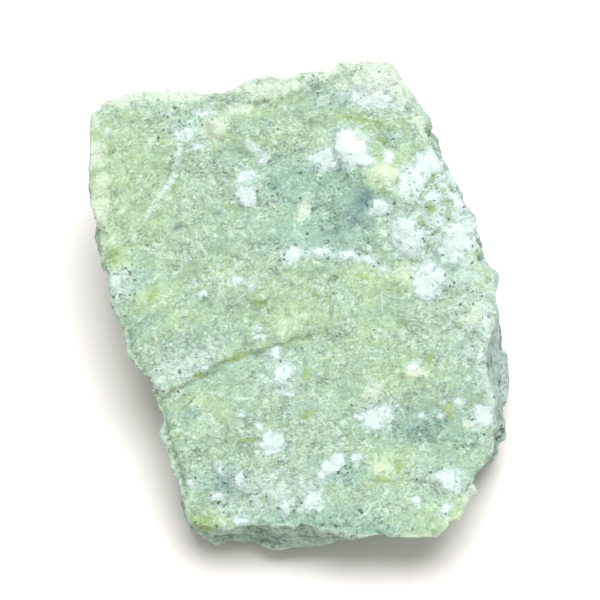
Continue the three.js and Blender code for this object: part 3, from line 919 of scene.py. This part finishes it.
class StoneSettings(bpy.types.PropertyGroup):
    """The stone's surface and colours."""

    spacing: length("Mesh spacing", "Side of the even mesh's squares", 0.00033)
    chip_tilt: amount("Chip tilt", "Lean of the small fracture chips, as a slope", 0.15)
    chip_step: amount("Chip step", "Height between neighbouring chips, in millimetres", 0.12)
    grain: amount("Grain", "Height of the sugary grain, in millimetres", 0.05)
    layer: amount("Layers", "Depth of the flanks' broken layers, as a factor", 1.0)
    ledge: amount("Ledges", "Drop of the ledges across the cleaved face, as a factor", 1.0)
    tuck: amount("Tuck", "How far the lower left flank draws in, in millimetres", 2.3)
    chalk_rise: amount("Chalk rise", "Height of the chalk crust, in millimetres", 0.11)
    bump: length("Bump", "Height of the finest grain", 0.00012)
    green: shade("Green", "Fuller green of the rock", 0.325, 0.495, 0.34)
    pale_green: shade("Pale green", "Paler green of the rock", 0.42, 0.60, 0.43)
    yellow_green: shade("Yellow green", "Yellower parts", 0.42, 0.60, 0.34)
    blue_green: shade("Blue green", "Cooler mottling", 0.33, 0.48, 0.41)
    olive: shade("Olive", "Small olive spots", 0.31, 0.45, 0.15)
    teal: shade("Teal", "Blue-green clouds", 0.31, 0.52, 0.41)
    # Slate: dark grains and hairlines, and also the painted shade in the flanks' hollows.
    slate_and_shade: shade("Slate", "Dark grains and hollows", 0.11, 0.205, 0.165)
    heart: shade("Heart", "Dark hearts of the clouds", 0.12, 0.21, 0.24)
    # Pale lines: healed cracks and pale grains, and also the painted highlights on edges and bumps.
    pale_line_and_highlight: shade("Pale lines", "Healed cracks and worn edges", 0.65, 0.83, 0.70)
    # Dirt and painted shade, laid in the hollows of the relief.
    hollow_dirt_and_shade: shade("Hollow", "Dirt in the hollows", 0.20, 0.30, 0.20)
    lens: shade("Lenses", "Glassy lenses of fuller green", 0.34, 0.50, 0.30)
    blade: shade("Blades", "Crystals in the white frost", 0.40, 0.54, 0.30)
    flank: shade("Flank", "Fibres of the broken flanks", 0.235, 0.36, 0.26)
    flank_dark: shade("Flank dark", "Darker fibres of the flanks", 0.12, 0.21, 0.15)
    flank_pale: shade("Flank pale", "Paler strands of the flanks", 0.41, 0.56, 0.46)
    flank_lime: shade("Flank lime", "Yellower parts of the flanks", 0.33, 0.43, 0.17)
    # Cream: the lumps, and also the painted highlights along the rim.
    cream: shade("Cream", "Cream lumps", 0.73, 0.87, 0.71)
    chalk: shade("Chalk", "White mineral", 0.695, 0.84, 0.805)
    chalk_shade: shade("Chalk shade", "Greyer parts of the white mineral", 0.58, 0.74, 0.73)
    frost: shade("Frost", "Fine white ground between crystals", 0.58, 0.755, 0.70)
    flank_frost: shade("Flank frost", "Bluish white layers on the flanks", 0.50, 0.65, 0.63)
    lime_cream: shade("Lime cream", "Yellowest parts of the cream lumps", 0.68, 0.85, 0.56)
    cream_white: shade("Cream white", "Whitest parts of the cream lumps", 0.86, 0.92, 0.86)
    speck: shade("Specks", "Dark mineral grains", 0.05, 0.10, 0.09)


class StageSettings(bpy.types.PropertyGroup):
    """The floor, the light and the camera."""

    floor_size: length("Floor size", "Side of the square floor", 60.0)
    floor_colour: shade("Floor colour", "Colour of the floor", 0.965, 0.93, 0.91)
    lamp_strength: amount("Lamp strength", "Strength of the large soft lamp", 3.24)
    lamp_spread: angle("Lamp spread", "How wide the soft lamp is", 46.0)
    fill: amount("Fill light", "Strength of the light from all round", 0.46)
    elevation: angle("Elevation", "How far the camera looks down", 65.0)
    distance: length("Distance", "From the camera to the middle of the stone", 0.6)
    framing: length("Framing", "Height of the view at the stone", 0.0765)


# ---- operators ----


class SERPENTINE_OT_stone(bpy.types.Operator):
    """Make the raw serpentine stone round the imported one"""

    bl_idname = "serpentine.stone"
    bl_label = "Raw serpentine"
    bl_options = {"UNDO"}

    def execute(self, context):
        look = context.scene.serpentine_stone
        piece = copy_of_node()
        remesh(piece, look.spacing)
        surface = Surface(piece.data)
        if len(surface.points) < 1000:
            raise RuntimeError("the stone's even mesh is empty")
        raise_surface(surface, look)
        piece.data.shade_smooth()
        piece.data.materials.append(serpentine_rock(look))
        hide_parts(NODE)
        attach(piece, "root")
        return {"FINISHED"}


class SERPENTINE_OT_stage(bpy.types.Operator):
    """Make the white floor, the soft light and the camera"""

    bl_idname = "serpentine.stage"
    bl_label = "Stage"
    bl_options = {"UNDO"}

    def execute(self, context):
        stage = context.scene.serpentine_stage
        scene = context.scene

        mesh = bpy.data.meshes.new("floor")
        shape = bmesh.new()
        bmesh.ops.create_grid(shape, x_segments=2, y_segments=2, size=0.5 * stage.floor_size)
        shape.to_mesh(mesh)
        shape.free()
        mesh.materials.append(plain_white("floor_white", stage.floor_colour))
        floor = placed("floor", mesh)

        lamp = bpy.data.lights.new("soft_lamp", "SUN")
        lamp.energy = stage.lamp_strength
        lamp.angle = stage.lamp_spread
        lit_from = placed("soft_lamp", lamp)
        lit_from.location = LAMP_PLACE
        lit_from.rotation_euler = Vector(LAMP_PLACE).to_track_quat("Z", "Y").to_euler()

        scene.world = studio_light(stage.fill)
        scene.view_settings.view_transform = "Standard"

        eye = bpy.data.cameras.new("camera")
        eye.sensor_width = 36.0
        eye.lens = eye.sensor_width * stage.distance / stage.framing
        camera = placed("camera", eye)
        middle = Vector((LOW[0] + HIGH[0], LOW[1] + HIGH[1], LOW[2] + HIGH[2])) * 0.5
        away = Vector((0.0, -math.cos(stage.elevation), math.sin(stage.elevation)))
        camera.location = middle + away * stage.distance
        camera.rotation_euler = (math.radians(90.0) - stage.elevation, 0.0, 0.0)
        scene.camera = camera
        return {"FINISHED"}


class SERPENTINE_PT_panel(bpy.types.Panel):
    """Lists what can be made and its settings"""

    bl_idname = "SERPENTINE_PT_panel"
    bl_label = "Raw serpentine"
    bl_space_type = "VIEW_3D"
    bl_region_type = "UI"
    bl_category = "Serpentine"

    def draw(self, context):
        for operator, settings in (
            (SERPENTINE_OT_stone, context.scene.serpentine_stone),
            (SERPENTINE_OT_stage, context.scene.serpentine_stage),
        ):
            box = self.layout.box()
            for name in settings.__annotations__:
                box.prop(settings, name)
            box.operator(operator.bl_idname)


CLASSES = (
    StoneSettings, StageSettings, SERPENTINE_OT_stone, SERPENTINE_OT_stage, SERPENTINE_PT_panel)


def register():
    for entry in CLASSES:
        bpy.utils.register_class(entry)
    bpy.types.Scene.serpentine_stone = bpy.props.PointerProperty(type=StoneSettings)
    bpy.types.Scene.serpentine_stage = bpy.props.PointerProperty(type=StageSettings)


def unregister():
    del bpy.types.Scene.serpentine_stage
    del bpy.types.Scene.serpentine_stone
    for entry in reversed(CLASSES):
        bpy.utils.unregister_class(entry)


def main():
    register()
    bpy.ops.serpentine.stone()
    bpy.ops.serpentine.stage()


if __name__ == "__main__":
    main()
